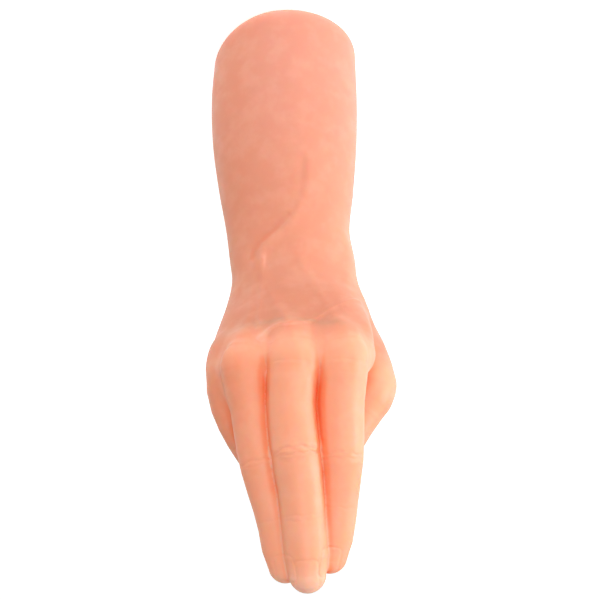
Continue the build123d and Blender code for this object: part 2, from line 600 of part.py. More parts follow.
with BuildPart() as kept_zone:
    with Locations((0, 0, FINGER_SPLIT_Z + TURN_GAP / 2)):
        Box(200, 200, 200, align=LEAST)
    with BuildSketch(Plane.YZ.offset(-40)):
        with BuildLine():
            CenterArc((HINGE_Y, HINGE_Z), 20, KNUCKLE_SWEEP[0], KNUCKLE_SWEEP[1] - KNUCKLE_SWEEP[0])
            for end in KNUCKLE_SWEEP:
                way = Vector(cos(radians(end)), sin(radians(end)))
                Line((HINGE_Y, HINGE_Z), Vector(HINGE_Y, HINGE_Z) + way * 20)
        make_face()
    extrude(amount=80)

with BuildPart() as finger_skin:
    add(fingers_form(0))
    add(fingers_form(DIGIT_SKIN), mode=Mode.SUBTRACT)
    add(kept_zone.part, mode=Mode.INTERSECT)
    add(rod_x(EYE_RADIUS + 2.9, -19, 19, HINGE_Y, HINGE_Z), mode=Mode.SUBTRACT)
    with Locations(((HUB_LEFT + HUB_RIGHT) / 2, BAR_Y - 1, BAR_Z)):
        Box(HUB_RIGHT - HUB_LEFT + 1, BAR_SIZE + 6, 30, mode=Mode.SUBTRACT)
    with Locations(((BAR_LEFT + BAR_RIGHT) / 2, BAR_Y, BAR_Z - 0.5)):
        Box(BAR_RIGHT - BAR_LEFT + 1, BAR_SIZE + 1, BAR_SIZE + 2, mode=Mode.SUBTRACT)
    add(capsule_chain(LUG, (LUG_RADIUS, LUG_RADIUS - 0.01), -0.4), mode=Mode.SUBTRACT)
    for finger in FINGERS:
        add(finger_core(finger, BOND), mode=Mode.SUBTRACT)
write(finger_skin, "finger_skin")

with BuildPart() as finger_filler:
    add(fingers_form(DIGIT_SKIN + BOND))
    split(bisect_by=Plane.XY.offset(FILLER_BOTTOM), keep=Keep.TOP)
    for finger in FINGERS:
        add(finger_core(finger, 0.1), mode=Mode.SUBTRACT)
write(finger_filler, "finger_foam")

# ---------------------------------------------------------------- thumb
thumb_knuckle = Vector(*THUMB[0])
bridge_reach = (7.0, 11.5)
core_start = thumb_knuckle + thumb_along * 10.5


def thumb_core_rod(grow):
    """The stiff core along the thumb, beyond its fork."""
    return capsule_chain((tuple(core_start), *THUMB[1:]), (4.2, 3.8, 3.0), -grow)


with BuildPart() as thumb_core:
    for side in (-1, 1):
        with Locations(thumb_hinge.offset(side * (FORK_INNER + FORK_OUTER) / 2)):
            Cylinder(THUMB_EYE_RADIUS, FORK_OUTER - FORK_INNER)
            Box(
                bridge_reach[1],
                9,
                FORK_OUTER - FORK_INNER,
                align=(Align.MIN, Align.CENTER, Align.CENTER),
            )
    with Locations(thumb_hinge):
        Cylinder(THUMB_PIN_RADIUS + FIT, 20, mode=Mode.SUBTRACT)
    add(thumb_core_rod(0))
    with Locations(Plane(origin=thumb_knuckle + thumb_along * bridge_reach[0], x_dir=thumb_along, z_dir=THUMB_AXIS)):
        Box(
            bridge_reach[1] - bridge_reach[0],
            9,
            2 * FORK_OUTER,
            align=(Align.MIN, Align.CENTER, Align.CENTER),
        )
    with Locations(thumb_hinge):
        Cylinder(bridge_reach[0], 2 * FORK_INNER, mode=Mode.SUBTRACT)
write(thumb_core, "thumb_core")

with BuildPart() as thumb_skin:
    add(capsule_chain(THUMB, THUMB_RADII))
    add(capsule_chain(THUMB, THUMB_RADII, DIGIT_SKIN), mode=Mode.SUBTRACT)
    split(bisect_by=thumb_split_plane(TURN_GAP / 2), keep=Keep.TOP)
write(thumb_skin, "thumb_skin")

with BuildPart() as thumb_filler:
    add(capsule_chain(THUMB, THUMB_RADII, DIGIT_SKIN + BOND))
    split(bisect_by=thumb_split_plane(4.0), keep=Keep.TOP)
    with Locations(THUMB[0]):
        Sphere(9.6, mode=Mode.SUBTRACT)
    with Locations(Plane(origin=THUMB[0], x_dir=thumb_along, z_dir=THUMB_AXIS)):
        Box(bridge_reach[1] + 0.4, 9.8, 2 * FORK_OUTER + 0.8, mode=Mode.SUBTRACT,
            align=(Align.MIN, Align.CENTER, Align.CENTER))
    add(thumb_core_rod(0.1), mode=Mode.SUBTRACT)
write(thumb_filler, "thumb_foam")
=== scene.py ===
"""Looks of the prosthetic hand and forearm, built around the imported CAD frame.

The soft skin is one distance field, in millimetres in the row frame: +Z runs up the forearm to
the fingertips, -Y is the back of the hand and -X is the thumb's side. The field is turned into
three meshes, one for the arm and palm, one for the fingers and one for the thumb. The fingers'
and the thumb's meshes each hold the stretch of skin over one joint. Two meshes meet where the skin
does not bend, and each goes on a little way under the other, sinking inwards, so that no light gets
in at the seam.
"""

import math

import bpy
import numpy as np
from mathutils import Matrix, Vector


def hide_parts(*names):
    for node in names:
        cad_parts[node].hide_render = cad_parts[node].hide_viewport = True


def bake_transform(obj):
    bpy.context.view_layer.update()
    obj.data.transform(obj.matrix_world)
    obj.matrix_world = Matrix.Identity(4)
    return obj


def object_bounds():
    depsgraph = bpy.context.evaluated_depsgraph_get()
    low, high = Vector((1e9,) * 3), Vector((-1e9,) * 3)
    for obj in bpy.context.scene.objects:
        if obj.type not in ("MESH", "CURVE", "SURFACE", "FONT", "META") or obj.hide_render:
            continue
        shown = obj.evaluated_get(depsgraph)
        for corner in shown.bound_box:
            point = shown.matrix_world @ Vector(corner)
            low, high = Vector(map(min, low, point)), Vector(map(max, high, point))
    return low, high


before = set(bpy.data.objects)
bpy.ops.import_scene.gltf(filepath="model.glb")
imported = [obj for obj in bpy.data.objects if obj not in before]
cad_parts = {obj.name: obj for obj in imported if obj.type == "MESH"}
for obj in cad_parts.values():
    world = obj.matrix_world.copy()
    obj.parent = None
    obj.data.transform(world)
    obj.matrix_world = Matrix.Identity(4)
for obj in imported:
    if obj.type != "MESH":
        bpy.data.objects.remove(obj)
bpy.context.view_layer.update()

MM = 0.001

# ---------------------------------------------------------------- sizes of the skin's form, mm
WRIST_Z = 165.0
END_ROUNDING = 12.0
PLATE_RADIUS, PLATE_RIM, PLATE_SEAT_GAP, PLATE_RECESS = 18.25, 0.6, 0.3, 12.0
# How far the blunt end falls away 20 mm out from the plate, and how much more on the little
# finger's side, past an x
END_FALL, END_FALL_SIDE, END_FALL_SIDE_X = 7.0, 1.5, 8.0

# Height, centre x, centre y, half width, half depth towards the back, half depth towards the
# palm side, roll towards the little finger in degrees
ARM_STATIONS = (
    (-20.0, 3.0, -2.0, 40.0, 30.5, 30.5, 0.0),
    (20.0, 3.0, -2.0, 40.6, 31.0, 31.0, 0.0),
    (49.0, 3.4, -2.0, 41.4, 31.5, 31.5, 0.0),
    (79.0, 3.0, -1.5, 40.2, 30.5, 30.5, 0.0),
    (109.0, 2.0, -0.5, 36.8, 28.0, 28.0, 0.0),
    (134.0, 0.8, 1.0, 33.4, 25.0, 24.5, 0.0),
    (150.0, -1.5, 1.6, 33.6, 23.5, 22.5, 0.0),
    (165.0, -3.0, 1.0, 33.2, 22.5, 21.5, 0.0),
    (178.0, -3.5, -2.5, 34.5, 23.0, 20.5, 3.0),
    (192.0, -2.0, -9.5, 35.2, 24.0, 21.0, 8.0),
    (206.0, 0.2, -17.5, 35.2, 20.5, 19.5, 12.0),
    (220.0, 0.9, -24.5, 34.4, 12.5, 16.0, 14.0),
    (240.0, 2.0, -28.0, 32.0, 9.0, 13.0, 14.0),
)
PALM_TOP, PALM_TOP_ROUNDING = 229.0, 14.0
PALM_TOP_WAY = (0.25, 0.92)  # y and z of the way that the top of the palm faces

# Each digit: points along its middle with the half thickness there
MIDDLE = (
    (-1.2, -33.2, 212.0, 11.5),
    (-2.0, -34.6, 218.0, 12.3),
    (-1.2, -30.0, 243.4, 12.2),
    (-4.2, -21.0, 269.2, 12.1),
    (-6.1, -14.5, 282.2, 11.3),
    (-7.3, -8.0, 295.2, 11.1),
    (-8.5, -1.5, 308.2, 10.7),
    (-9.2, 2.2, 318.0, 9.2),
)
RING = (
    (19.8, -28.0, 214.5, 10.8),
    (21.4, -30.0, 221.5, 11.9),
    (18.3, -25.0, 241.6, 10.5),
    (13.5, -14.0, 266.5, 10.7),
    (10.2, -7.5, 279.7, 9.8),
    (6.0, -1.0, 292.4, 9.6),
    (3.8, 5.0, 304.2, 9.4),
    (1.5, 8.8, 312.6, 8.4),
)
INDEX = (
    (-24.5, -31.0, 211.0, 11.0),
    (-26.0, -32.0, 217.0, 11.8),
    (-24.9, -26.0, 242.0, 12.1),
    (-25.0, -16.0, 267.2, 11.4),
    (-24.1, -9.0, 279.6, 10.5),
    (-22.7, -2.0, 292.6, 10.2),
    (-21.5, 3.6, 301.5, 9.7),
    (-20.2, 7.4, 308.0, 8.6),
)
LITTLE = (
    (28.5, -17.0, 213.0, 10.8),
    (29.8, -16.0, 221.0, 11.0),
    (29.8, -12.5, 230.0, 11.3),
    (27.2, -8.0, 240.0, 10.5),
    (21.5, -2.5, 250.5, 10.2),
    (15.0, 2.5, 260.0, 9.8),
    (10.0, 7.0, 269.0, 9.2),
    (6.5, 10.5, 278.0, 9.0),
    (4.0, 13.5, 286.0, 8.5),
    (2.5, 15.0, 291.5, 7.5),
)
THUMB = (
    (-35.5, 8.0, 205.0, 13.2),
    (-40.3, 7.0, 219.0, 13.4),
    (-38.8, 7.3, 227.0, 12.8),
    (-33.5, 7.8, 237.0, 11.8),
    (-28.2, 8.6, 246.5, 11.3),
    (-22.5, 9.6, 257.0, 11.2),
    (-17.0, 10.8, 266.0, 10.6),
    (-12.5, 12.0, 273.5, 9.8),
    (-10.0, 12.5, 277.5, 8.4),
)
THENAR = (
    (-23.0, 8.0, 176.0, 12.0),
    (-29.2, 8.0, 185.0, 13.6),
    (-34.0, 8.0, 195.0, 14.0),
    (-37.6, 8.0, 206.0, 13.6),
    (-40.3, 7.0, 219.5, 13.3),
)
# The muscle between the thumb's root and the index finger
FIRST_WEB = ((-22.0, -14.0, 188.0, 12.0), (-28.5, -20.0, 201.0, 12.5), (-31.5, -22.5, 214.0, 11.5))
HYPOTHENAR = (
    (17.5, 9.0, 174.0, 12.5),
    (21.5, 4.0, 188.0, 12.8),
    (25.0, -4.0, 202.0, 12.5),
    (28.0, -13.0, 216.0, 11.5),
)
# Flesh between the roots of the fingers
WEB = ((-24.0, -22.0, 230.0, 10.0), (-1.0, -23.5, 232.0, 10.5), (18.0, -20.0, 229.0, 9.5))
# Flesh over the hinge inside
HINGE_COVER = ((-22.0, -33.0, 219.0, 7.9), (20.0, -32.5, 219.0, 7.9))

# Widths of the fillets where the parts grow together
MUSCLES = ((THENAR, 13.0), (FIRST_WEB, 11.0), (HYPOTHENAR, 10.0))
PALM_TO_FINGERS, PALM_TO_THUMB, HINGE_FILLET, PRESSED_FILLET = 6.5, 9.0, 2.5, 1.0
# Between two fingers, where they only touch, and how much wider it gets where they share flesh
FINGER_FILLET, SHARED_FLESH, SHARED_WEB = 1.9, 6.5, 4.5
SHARED_UP_TO = (216.0, 240.0)  # heights, at the middle of a knuckle, over which sharing ends
KNUCKLES_Y = -30.0
THUMB_GAP = 0.15  # between the thumb and the fingers that it is pressed against
TOUCH = 0.8  # the fillet between the whole digits, the same in all three fields

# Joints, as in the record, and the stretch of skin that bends over each
KNUCKLE_AXIS = np.array((0.0, -33.0, 219.0))
KNUCKLE_WAY = np.array((0.12, -0.50, 0.86))
KNUCKLE_WAY /= np.linalg.norm(KNUCKLE_WAY)
KNUCKLE_BEND = (-11.0, 10.0)
THUMB_PIVOT = np.array((-40.0, 7.0, 224.0))
THUMB_WAY = np.array((-0.50, 0.10, 0.86))
THUMB_WAY /= np.linalg.norm(THUMB_WAY)
THUMB_BEND = (-11.0, 9.0)
SEAM = 1.2  # how far before the bend the meshes are parted


# ---------------------------------------------------------------- field building blocks
FAR = 1e3


def smoothstep(low, high, x):
    t = np.clip((x - low) / (high - low), 0.0, 1.0)
    return t * t * (3 - 2 * t)


def smooth_min(a, b, k):
    """Union of two fields with a fillet about k wide."""
    h = np.clip(0.5 + 0.5 * (b - a) / k, 0.0, 1.0)
    return b + (a - b) * h - k * h * (1 - h)


def smooth_max(a, b, k):
    return -smooth_min(-a, -b, k)


def curve_through(knots, values, at):
    """Smooth values between rows of a table, one row per knot."""
    knots, values = np.asarray(knots, np.float32), np.asarray(values, np.float32)
    slopes = np.gradient(values, knots, axis=0)
    at = np.clip(at, knots[0], knots[-1])
    i = np.clip(np.searchsorted(knots, at) - 1, 0, len(knots) - 2)
    h = (knots[i + 1] - knots[i])[:, None]
    t = ((at - knots[i])[:, None]) / h
    return (
        values[i] * (2 * t**3 - 3 * t**2 + 1)
        + slopes[i] * h * (t**3 - 2 * t**2 + t)
        + values[i + 1] * (3 * t**2 - 2 * t**3)
        + slopes[i + 1] * h * (t**3 - t**2)
    )


def densify(chain, pieces):
    """A digit's points with smooth in-between ones."""
    points = np.asarray(chain, np.float32)
    knots = np.concatenate([[0], np.cumsum(np.linalg.norm(np.diff(points[:, :3], axis=0), axis=1))])
    return curve_through(knots, points, np.linspace(0, knots[-1], pieces + 1, dtype=np.float32))


def full_limb(p, chain, pieces=11):
    """Distance to a round limb of changing thickness."""
    dense = densify(chain, pieces)
    best = np.full(len(p), FAR, np.float32)
    for start, end in zip(dense[:-1], dense[1:]):
        way = end[:3] - start[:3]
        length = float(np.linalg.norm(way))
        t = np.clip((p - start[:3]) @ way / length**2, 0.0, 1.0)
        radius = start[3] + t * (end[3] - start[3])
        d = np.linalg.norm(p - start[:3] - t[:, None] * way, axis=1) - radius
        best = np.where(d < best, d, best)
    return best


def limb(p, chain, reach=16.0):
    """A limb's distance worked out only near it. Elsewhere the distance to its box stands in."""
    points = np.asarray(chain)
    low = (points[:, :3] - points[:, 3:]).min(0) - reach
    high = (points[:, :3] + points[:, 3:]).max(0) + reach
    outside = np.linalg.norm(np.maximum(np.maximum(low - p, p - high), 0), axis=1)
    d = (outside + reach).astype(np.float32)
    near = outside <= 0
    if near.any():
        d[near] = full_limb(p[near], chain)
    return d


def arm_and_palm_slab(p):
    """The forearm and the flat of the hand, as one swept oval."""
    table = np.asarray(ARM_STATIONS, np.float32)
    cx, cy, width, back, front, roll = curve_through(table[:, 0], table[:, 1:], p[:, 2]).T
    c, s = np.cos(np.radians(roll)), np.sin(np.radians(roll))
    u = (p[:, 0] - cx) * c + (p[:, 1] - cy) * s
    v = -(p[:, 0] - cx) * s + (p[:, 1] - cy) * c
    depth = np.where(v < 0, back, front)
    q = np.sqrt((u / width) ** 2 + (v / depth) ** 2) + 1e-6
    slope = np.sqrt((u / width**2) ** 2 + (v / depth**2) ** 2) / q + 1e-6
    side = (q - 1) / slope
    # The blunt end is flat under the plate and falls away around it.
    out = np.clip(np.hypot(p[:, 0], p[:, 1]) - PLATE_RADIUS - PLATE_RIM, 0, None)
    sideways = np.clip(p[:, 0] - END_FALL_SIDE_X, 0, None)
    falls = END_FALL * (out / 20) ** 1.3 + END_FALL_SIDE * (sideways / 20) ** 2
    d = smooth_max(side, falls - p[:, 2], END_ROUNDING)
    lean = (p[:, 2] - PALM_TOP) * PALM_TOP_WAY[1] + (p[:, 1] - KNUCKLES_Y) * PALM_TOP_WAY[0]
    return smooth_max(d, lean, PALM_TOP_ROUNDING)


# Raised and sunken marks on the back of the arm and hand, in the x-z plane: points, half width
# and height. A negative height is a groove.
BACK_MARKS = (
    # long tendon that runs down the forearm and crosses to the little finger's side of the wrist
    (
        ((-11.5, 104.0), (-10.0, 120.0), (-7.5, 131.0), (-1.0, 143.0), (10.0, 153.0), (15.0, 166.0)),
        3.4, 0.45,
    ),
    (((-5.5, 128.0), (0.0, 140.0), (10.0, 150.5), (16.5, 162.0)), 2.6, 0.75),
    (
        ((-7.0, 104.0), (-5.5, 122.0), (-3.0, 132.0), (4.0, 140.5), (15.5, 150.0), (19.0, 160.0)),
        2.4, -0.35,
    ),
    (((1.0, 135.0), (5.5, 140.5), (15.5, 149.5), (19.5, 157.0)), 1.8, -0.6),
    # tendons to the knuckles
    (((15.0, 154.0), (12.0, 172.0), (6.0, 190.0), (-0.5, 206.0)), 2.6, 0.6),
    (((18.0, 160.0), (19.0, 180.0), (20.5, 202.0)), 2.6, 0.5),
    (((-6.0, 160.0), (-16.0, 184.0), (-25.0, 203.0)), 3.0, 0.5),
    # the vein that crosses above the knuckles, and the hollow beside it
    (
        ((14.0, 212.0), (7.0, 206.5), (0.0, 206.0), (-10.5, 203.5), (-19.0, 196.0), (-28.0, 189.0),
         (-36.0, 184.0)),
        1.4, 0.8,
    ),
    (((11.0, 203.0), (1.0, 201.5), (-9.0, 199.0), (-16.0, 192.5)), 2.4, -0.25),
    (((14.0, 150.0), (14.0, 166.0), (14.5, 186.0), (15.0, 206.0)), 1.4, 0.35),
    # the ridge of the thumb's tendon along the edge of the wrist
    (((-31.0, 140.0), (-33.5, 154.0), (-31.0, 168.0)), 4.0, 0.7),
)


def palm(p):
    """Forearm and palm with the pads at the thumb's root and under the little finger."""
    d = arm_and_palm_slab(p)
    for muscle, fillet in MUSCLES:
        d = smooth_min(d, limb(p, muscle), fillet)
    return d


def fingers(p):
    """The four fingers. They share flesh near the knuckles and only touch further on."""
    shared = 1.0 - smoothstep(*SHARED_UP_TO, p[:, 2] - (p[:, 1] - KNUCKLES_Y))
    d = limb(p, MIDDLE)
    for chain in (RING, INDEX, LITTLE):
        d = smooth_min(d, limb(p, chain), FINGER_FILLET + SHARED_FLESH * shared)
    d = smooth_min(d, limb(p, HINGE_COVER), HINGE_FILLET)
    return smooth_min(d, limb(p, WEB), FINGER_FILLET + SHARED_WEB * shared)


def fleshed_fingers(p):
    return smooth_min(palm(p), fingers(p), PALM_TO_FINGERS)


def fleshed_thumb(p):
    """The palm with the thumb, which is pressed flat against the fingers."""
    pressed = smooth_max(limb(p, THUMB), THUMB_GAP - fingers(p), PRESSED_FILLET)
    return smooth_min(palm(p), pressed, PALM_TO_THUMB)


# All three fields agree where the meshes meet.
def whole_hand(p):
    return smooth_min(fleshed_fingers(p), fleshed_thumb(p), TOUCH)


def hand_without_thumb(p):
    return smooth_min(fleshed_fingers(p), palm(p), TOUCH)


def hand_without_fingers(p):
    return smooth_min(palm(p), fleshed_thumb(p), TOUCH)


# ---------------------------------------------------------------- from field to mesh
def in_blocks(function, p, block=400000):
    return np.concatenate([function(p[i : i + block]) for i in range(0, len(p), block)])


COARSE = 4  # grid steps in the side of a block


def field_grid(function, low, high, step):
    """A field on a grid. Each block far from the surface has one value, and the rest are exact."""
    blocks = [int(math.ceil((b - a) / (step * COARSE))) for a, b in zip(low, high)]
    middles = [a + step * (COARSE * np.arange(n) + (COARSE - 1) / 2) for a, n in zip(low, blocks)]
    centres = np.stack(np.meshgrid(*middles, indexing="ij"), -1).reshape(-1, 3)
    grid = in_blocks(function, centres.astype(np.float32)).reshape(blocks)
    for axis in range(3):
        grid = np.repeat(grid, COARSE, axis=axis)
    near = np.argwhere(np.abs(grid) < 1.3 * COARSE * step + 0.5)
    grid[tuple(near.T)] = in_blocks(function, (np.asarray(low) + step * near).astype(np.float32))
    return grid


def surface_net(function, low, high, step):
    """Points and quads of a field's zero surface, one point in each grid cell it crosses."""
    grid = field_grid(function, low, high, step)
    counts = grid.shape
    inside = grid < 0
    corners = [
        inside[i : counts[0] - 1 + i, j : counts[1] - 1 + j, k : counts[2] - 1 + k]
        for i in (0, 1)
        for j in (0, 1)
        for k in (0, 1)
    ]
    total = sum(c.astype(np.int8) for c in corners)
    cells = np.argwhere((total > 0) & (total < 8))
    ids = np.full([n - 1 for n in counts], -1, np.int32)
    ids[tuple(cells.T)] = np.arange(len(cells))
    place, hits = np.zeros((len(cells), 3)), np.zeros(len(cells))
    for axis in range(3):
        others = [a for a in range(3) if a != axis]
        for one in (0, 1):
            for two in (0, 1):
                start = cells.copy()
                start[:, others[0]] += one
                start[:, others[1]] += two
                end = start.copy()
                end[:, axis] += 1
                a, b = grid[tuple(start.T)], grid[tuple(end.T)]
                cut = (a < 0) != (b < 0)
                t = np.where(cut, a / np.where(cut, a - b, 1), 0)
                point = start.astype(float)
                point[:, axis] += t
                place += np.where(cut[:, None], point, 0)
                hits += cut
    place = np.asarray(low) + step * place / hits[:, None]
    quads = []
    for axis in range(3):
        others = [(axis + 1) % 3, (axis + 2) % 3]
        lower = [slice(None)] * 3
        upper = [slice(None)] * 3
        lower[axis], upper[axis] = slice(0, -1), slice(1, None)
        cut = inside[tuple(lower)] != inside[tuple(upper)]
        edges = np.argwhere(cut)
        for o in others:
            edges = edges[(edges[:, o] > 0) & (edges[:, o] < counts[o] - 1)]
        around = []
        for one, two in ((0, 0), (1, 0), (1, 1), (0, 1)):
            cell = edges.copy()
            cell[:, others[0]] -= one
            cell[:, others[1]] -= two
            around.append(ids[tuple(cell.T)])
        quad = np.stack(around, axis=1)
        flip = ~inside[tuple(edges.T)]
        quad[flip] = quad[flip][:, ::-1]
        quads.append(quad)
    return place, np.concatenate(quads)


def slope_of(function, p, h=0.25):
    """Gradient of a field by small steps each way."""
    g = np.empty_like(p)
    for axis in range(3):
        step = np.zeros(3, p.dtype)
        step[axis] = h
        g[:, axis] = (in_blocks(function, p + step) - in_blocks(function, p - step)) / (2 * h)
    return g


def settle(function, p, rounds):
    """Moves points onto the field's zero surface."""
    for _ in range(rounds):
        g = slope_of(function, p)
        d = in_blocks(function, p)
        p = p - g * np.clip(d / np.maximum((g * g).sum(1), 0.05), -1.2, 1.2)[:, None]
    return p


# ---------------------------------------------------------------- fine marks on the skin
# Wrinkles across each digit: place along it, half width and depth, how far the ends bow to the
# fingertip, on the back (1) or the palm side (-1). A negative depth is a raised knuckle.
DIGIT_FOLDS = (
    (MIDDLE, (
        (9.0, 5.8, -1.5, 0.0, 1), (54.0, 4.5, -0.7, 0.0, 1),
        (51.6, 0.8, 0.62, 2.6, 1), (54.4, 0.7, 0.45, 1.4, 1), (57.6, 1.6, 0.45, -1.5, 1),
        (34.0, 0.9, 0.7, 0.0, -1), (56.0, 0.9, 0.8, 0.0, -1), (83.0, 0.8, 0.6, 0.0, -1),
        (83.5, 0.8, 0.16, 1.0, 1), (86.0, 0.7, 0.12, 0.6, 1),
    )),
    (RING, (
        (9.0, 5.5, -1.5, 0.0, 1), (55.5, 4.5, -0.5, 0.0, 1),
        (54.0, 0.75, 0.26, 2.2, 1), (56.6, 0.7, 0.20, 1.2, 1), (60.5, 1.4, 0.15, -1.0, 1),
        (33.0, 0.9, 0.7, 0.0, -1), (57.0, 0.9, 0.7, 0.0, -1), (83.0, 0.8, 0.5, 0.0, -1),
        (84.0, 0.7, 0.12, 0.6, 1),
    )),
    (INDEX, (
        (8.5, 5.8, -1.3, 0.0, 1), (54.5, 4.5, -0.5, 0.0, 1),
        (53.6, 0.75, 0.24, 2.2, 1), (56.2, 0.7, 0.18, 1.2, 1),
        (31.0, 0.9, 0.7, 0.0, -1), (55.0, 0.9, 0.7, 0.0, -1), (79.0, 0.8, 0.5, 0.0, -1),
        (80.0, 0.7, 0.12, 0.6, 1),
    )),
    (LITTLE, (
        (12.0, 5.0, -0.5, 0.0, 1), (43.0, 0.7, 0.22, 1.5, 1), (45.4, 0.7, 0.18, 1.0, 1),
        (26.0, 0.9, 0.6, 0.0, -1), (46.0, 0.8, 0.6, 0.0, -1), (66.0, 0.8, 0.5, 0.0, -1),
    )),
    (THUMB, (
        (45.0, 0.8, 0.3, 1.5, 1), (48.0, 0.7, 0.22, 1.0, 1),
        (46.0, 0.9, 0.6, 0.0, -1), (20.0, 1.0, 0.5, 0.0, -1),
    )),
)
# Nail of each digit: how far its fold is from the end of the middle line, half width, half length
NAILS = (
    (MIDDLE, 8.0, 5.4, 7.4),
    (RING, 7.4, 4.8, 6.6),
    (INDEX, 7.4, 4.9, 6.8),
    (LITTLE, 6.0, 3.9, 5.4),
    (THUMB, 7.0, 6.2, 7.2),
)
NAIL_CORNER, NAIL_RISE, NAIL_GROOVE, NAIL_GROOVE_WIDTH = 2.6, 0.08, 0.17, 0.6
# The way that the backs of the digits face
FINGER_BACK, THUMB_BACK = (0.0, -1.0, 0.35), (-1.0, -0.25, -0.2)

# Creases in the palm, in the x-z plane: points, half width, depth
PALM_CREASES = (
    (((-27.0, 214.0), (-18.0, 207.0), (-8.0, 193.0), (-4.0, 180.0), (-3.0, 170.0)), 1.1, 0.8),
    (((-27.0, 215.0), (-10.0, 211.0), (8.0, 204.0), (20.0, 196.0)), 1.0, 0.7),
    (((-14.0, 224.0), (-2.0, 219.0), (12.0, 214.0), (27.0, 212.0)), 1.0, 0.7),
    (((-27.0, 163.0), (-10.0, 165.0), (8.0, 165.0), (24.0, 162.0)), 0.9, 0.55),
    (((-24.0, 159.5), (-6.0, 161.0), (10.0, 161.0), (22.0, 158.5)), 0.8, 0.35),
)


def unit(v):
    v = np.asarray(v, float)
    return v / np.linalg.norm(v)


def back_of(chain):
    return unit(THUMB_BACK if chain is THUMB else FINGER_BACK)


def around_digit(p, chain, pieces=24):
    """Distance to a digit's skin, place along it, and how far a point faces its back, -1 to 1."""
    dense = densify(chain, pieces).astype(float)
    closest, depth = np.full(len(p), FAR), np.full(len(p), FAR)
    along, facing = np.zeros(len(p)), np.zeros(len(p))
    walked = 0.0
    for start, end in zip(dense[:-1], dense[1:]):
        way = end[:3] - start[:3]
        length = float(np.linalg.norm(way))
        back = unit(back_of(chain) - way * (back_of(chain) @ way) / length**2)
        t = np.clip((p - start[:3]) @ way / length**2, 0.0, 1.0)
        out = p - start[:3] - t[:, None] * way
        r = np.linalg.norm(out, axis=1)
        nearer = r < closest
        closest = np.where(nearer, r, closest)
        depth = np.where(nearer, r - start[3] - t * (end[3] - start[3]), depth)
        along = np.where(nearer, walked + t * length, along)
        facing = np.where(nearer, (out @ back) / np.maximum(r, 1e-6), facing)
        walked += length
    return depth, along, facing


def digit_folds(p):
    """How far the wrinkles raise the skin."""
    rise = np.zeros(len(p))
    for chain, folds in DIGIT_FOLDS:
        ids = np.flatnonzero(limb(p, chain, 3.0) < 2.0)
        if not len(ids):
            continue
        off_skin, along, facing = around_digit(p[ids], chain)
        mine = smoothstep(2.0, 0.6, np.abs(off_skin))
        for place, width, depth, bow, side in folds:
            show = smoothstep(0.15, 0.75, side * facing)
            at = place + bow * (1 - np.abs(facing)) * 2.0
            # the fold wavers a little, as skin does
            at = at + 0.35 * np.sin(4.0 * facing + 1.7 * place + p[ids, 0] * 0.9)
            rise[ids] -= depth * show * mine * np.exp(-(((along - at) / width) ** 2))
    return rise


def nails(p):
    """How far the nails and the grooves around them raise the skin."""
    rise = np.zeros(len(p))
    for chain, inset, half_width, half_length in NAILS:
        tip, way = np.asarray(chain[-1][:3]), unit(np.subtract(chain[-1][:3], chain[-2][:3]))
        back = unit(back_of(chain) - way * (back_of(chain) @ way))
        ids = np.flatnonzero(np.linalg.norm(p - tip, axis=1) < 20.0)
        if not len(ids):
            continue
        q = p[ids] - tip
        long_gap = np.abs(q @ way + inset - half_length) - half_length + NAIL_CORNER
        wide_gap = np.abs(q @ np.cross(way, back)) - half_width + NAIL_CORNER
        edge = np.hypot(np.maximum(long_gap, 0), np.maximum(wide_gap, 0))
        edge += np.minimum(np.maximum(long_gap, wide_gap), 0) - NAIL_CORNER
        plate = NAIL_RISE * smoothstep(0.2, -0.9, edge)
        groove = NAIL_GROOVE * np.exp(-((edge / NAIL_GROOVE_WIDTH) ** 2))
        rise[ids] += smoothstep(2.0, 4.5, q @ back) * (plate - groove)
    return rise


def polyline_distance(x, z, points):
    best = np.full(len(x), FAR, np.float32)
    for (ax, az), (bx, bz) in zip(points[:-1], points[1:]):
        wx, wz = bx - ax, bz - az
        t = np.clip(((x - ax) * wx + (z - az) * wz) / (wx * wx + wz * wz), 0, 1)
        best = np.minimum(best, np.hypot(x - ax - t * wx, z - az - t * wz))
    return best


def rounded_route(points):
    """A route's points with smooth in-between ones."""
    points = np.asarray(points, np.float32)
    knots = np.concatenate([[0], np.cumsum(np.linalg.norm(np.diff(points, axis=0), axis=1))])
    return curve_through(knots, points, np.linspace(0, knots[-1], 4 * len(points), dtype=np.float32))


def hand_marks(p):
    """How far tendons, veins and hollows on the back and creases of the palm raise the skin."""
    rise = np.zeros(len(p))
    middle = np.interp(p[:, 2], (0, WRIST_Z, 192, 220), (0, 0, -10, -24))
    on_back = smoothstep(middle - 4.0, middle - 14.0, p[:, 1]) * smoothstep(232.0, 220.0, p[:, 2])
    on_palm = smoothstep(middle + 3.0, middle + 9.0, p[:, 1]) * smoothstep(240.0, 228.0, p[:, 2])
    for routes, side, sign in ((BACK_MARKS, on_back, 1.0), (PALM_CREASES, on_palm, -1.0)):
        for points, width, height in routes:
            zs = [z for _, z in points]
            ids = np.flatnonzero((p[:, 2] > min(zs) - 12) & (p[:, 2] < max(zs) + 12) & (side > 0))
            if len(ids):
                d = polyline_distance(p[ids, 0], p[ids, 2], rounded_route(points))
                rise[ids] += sign * height * np.exp(-((d / width) ** 2)) * side[ids]
    return rise


def marked(base):
    """A field with the fine marks on the skin added."""
    return lambda p: base(p) - hand_marks(p) - (digit_folds(p) + nails(p))


# ---------------------------------------------------------------- meshes
STEP = 0.8
HAND_LOW, HAND_HIGH = (-64.0, -60.0, -8.0), (56.0, 44.0, 340.0)
DIGITS_LOW = HAND_LOW[2] + 3.2 * 58  # on the whole hand's grid
FLAP, FLAP_SLOPE = 6.0, 0.25  # each mesh goes on this far inside the next one, and sinks this fast
